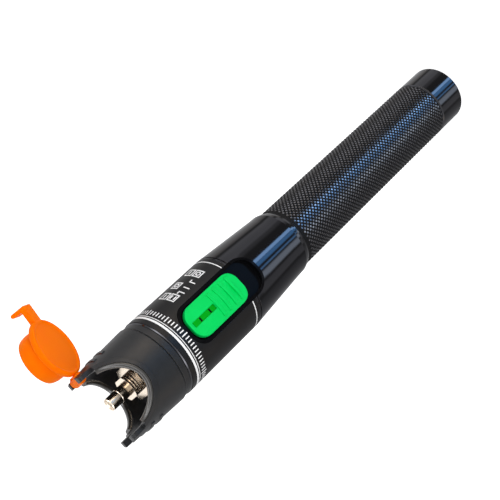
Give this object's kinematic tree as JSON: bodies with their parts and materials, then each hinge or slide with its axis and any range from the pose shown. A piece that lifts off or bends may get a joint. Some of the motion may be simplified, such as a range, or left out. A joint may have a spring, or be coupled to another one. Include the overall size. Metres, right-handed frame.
{
  "type": "visual fault locator",
  "caption": "Pen-shaped laser fibre tester with a knurled battery tube, a slide switch, a hooded 2.5 mm ferrule port and a hinged soft dust cap.",
  "frame": {"origin": "centre of the tail cap's flat end face", "axes": "+Z along the pen towards the fibre port, -Y on the slide switch's side, +X on the side of the prong that carries the dust cap"},
  "size_m": [0.0484, 0.0269, 0.1815],
  "materials": {
    "anodised_black": "satin black anodising, knurled on the tube",
    "gloss_black": "gloss black",
    "label_matte": "matte black film",
    "hood_black": "fine matte black moulding",
    "nickel": "bright nickel plate",
    "ceramic": "white zirconia",
    "button_green": "satin green moulding",
    "cap_orange": "orange silicone",
    "seal_black": "matte",
    "spring_steel": "bright wire",
    "contact_brass": "bright",
    "battery_skin": "plain sleeve",
    "board": "green board",
    "chips": "moulded",
    "inner_plastic": "moulded",
    "diode_gold": "gold plate",
    "lens_glass": "clear",
    "bulkhead_metal": "black anodised"
  },
  "bodies": {
    "pen": {"battery_tube": "anodised_black", "head_sleeve": "gloss_black", "label_wrap": "label_matte", "front_hood": "hood_black", "switch_bezel": "hood_black", "trim_ring": "hood_black", "adapter_body": "nickel", "ferrule_barrel": "nickel", "cap_pin": "nickel", "ceramic_sleeve": "ceramic", "head_o_ring": "seal_black", "switch_body": "spring_steel", "front_contact": "contact_brass", "contact_strip": "contact_brass", "laser_module": "contact_brass", "battery_rear": "battery_skin", "battery_front": "battery_skin", "circuit_board": "board", "board_components": "chips", "board_carrier": "inner_plastic", "contact_insulator": "inner_plastic", "laser_diode": "diode_gold", "collimating_lens": "lens_glass", "bulkhead": "bulkhead_metal"},
    "tail_contact": {"tail_spring": "spring_steel", "spring_seat": "contact_brass"},
    "tail_cap": {"tail_cap": "anodised_black", "tail_o_ring": "seal_black"},
    "slider": {"slide_button": "button_green", "switch_knob": "inner_plastic"},
    "strap": {"cap_strap": "cap_orange"},
    "cap": {"dust_cap": "cap_orange"}
  },
  "joints": [
    {"name": "tail_cap_travel", "type": "slide", "parent": "pen", "child": "tail_contact", "axis": [0, 0, -1], "range_m": [0, 0.005]},
    {"name": "tail_cap_turn", "type": "hinge", "parent": "tail_contact", "child": "tail_cap", "pos_m": [0, 0, 0], "axis": [0, 0, -1], "range_deg": [0, 1440]},
    {"name": "switch_slide", "type": "slide", "parent": "pen", "child": "slider", "axis": [0, 0, -1], "range_m": [0, 0.006]},
    {"name": "strap_fold", "type": "hinge", "parent": "pen", "child": "strap", "pos_m": [0.0106, 0, 0.1733], "axis": [0, -1, 0], "range_deg": [0, 187.5]},
    {"name": "cap_twist", "type": "hinge", "parent": "strap", "child": "cap", "pos_m": [0.0106, 0, 0.1733], "axis": [0.9914, 0, -0.1305], "range_deg": [0, 49]}
  ],
  "couplings": [
    {"joint": "tail_cap_travel", "follows": "tail_cap_turn", "m_per_rad": 0.00019894},
    {"joint": "cap_twist", "follows": "strap_fold", "ratio": 0.26133}
  ]
}
